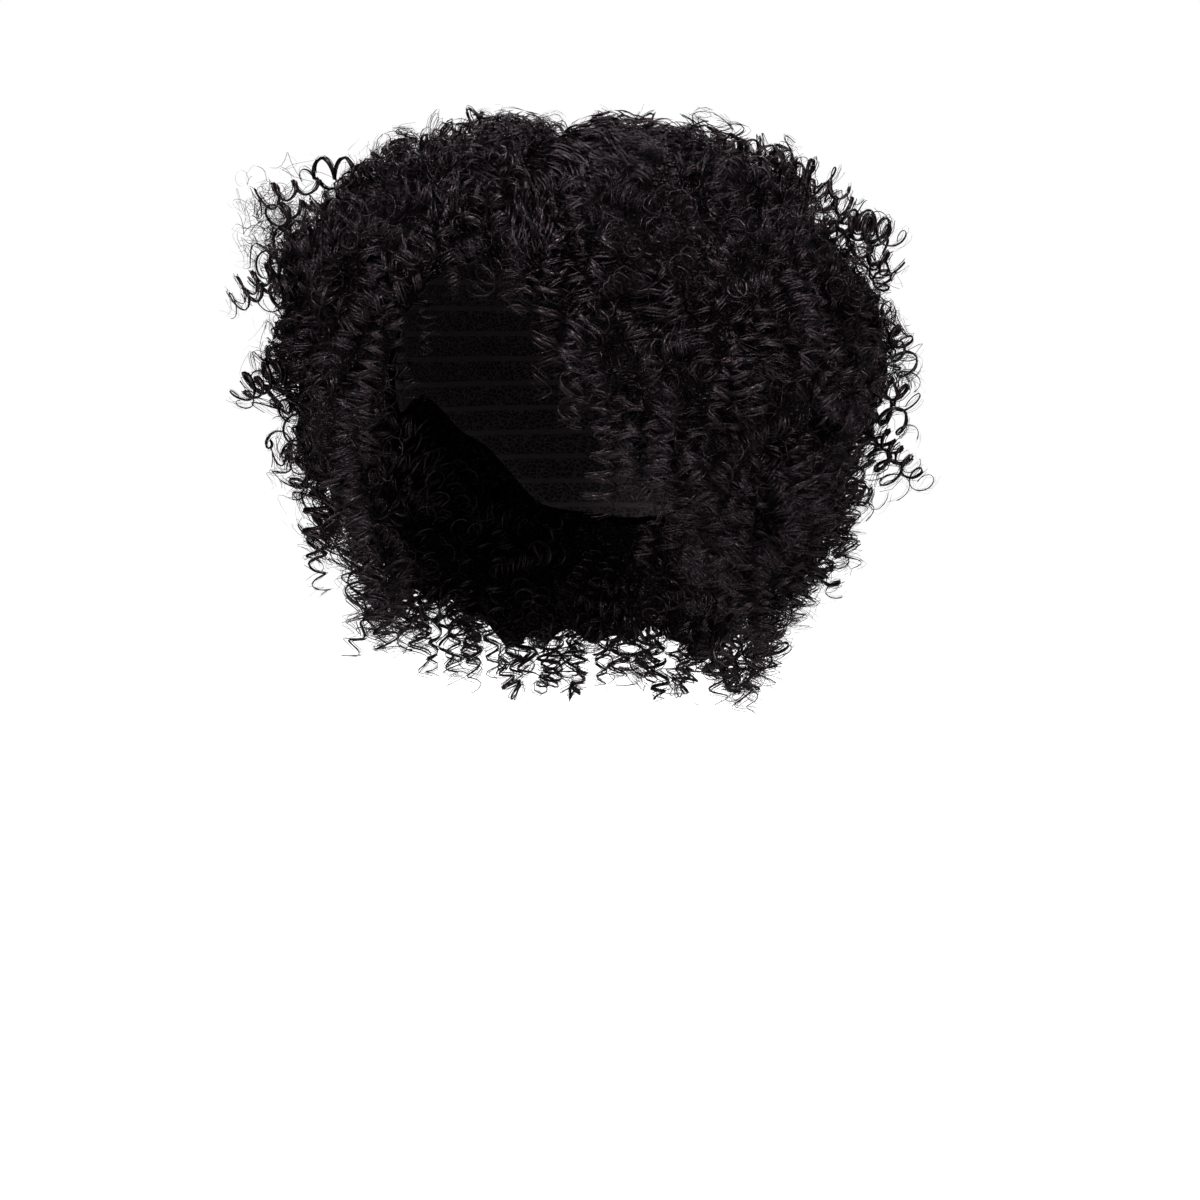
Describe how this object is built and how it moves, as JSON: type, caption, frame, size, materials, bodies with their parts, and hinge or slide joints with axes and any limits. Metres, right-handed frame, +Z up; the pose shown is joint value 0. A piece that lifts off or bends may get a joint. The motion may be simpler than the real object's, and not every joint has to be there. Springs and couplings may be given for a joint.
{
  "type": "curly wig",
  "caption": "Short, full wig of tight off-black curls: a net cap with hair in sections, parted on top, with a curtain fringe and curls hanging past the ears to a point at the nape.",
  "frame": {"origin": "inside of the cap at the top of the head, where the wearer's crown bears", "axes": "+Z up, the wearer looks along -Y, the wearer's left is +X"},
  "size_m": [0.3533, 0.3047, 0.3035],
  "materials": {
    "hair": "satin fibre",
    "net": "matt stretch net"
  },
  "bodies": {
    "root": {"cap": "net", "fringe_left": "hair", "fringe_right": "hair", "side_left": "hair", "side_right": "hair", "back_left": "hair", "back_right": "hair", "nape": "hair"}
  },
  "joints": []
}
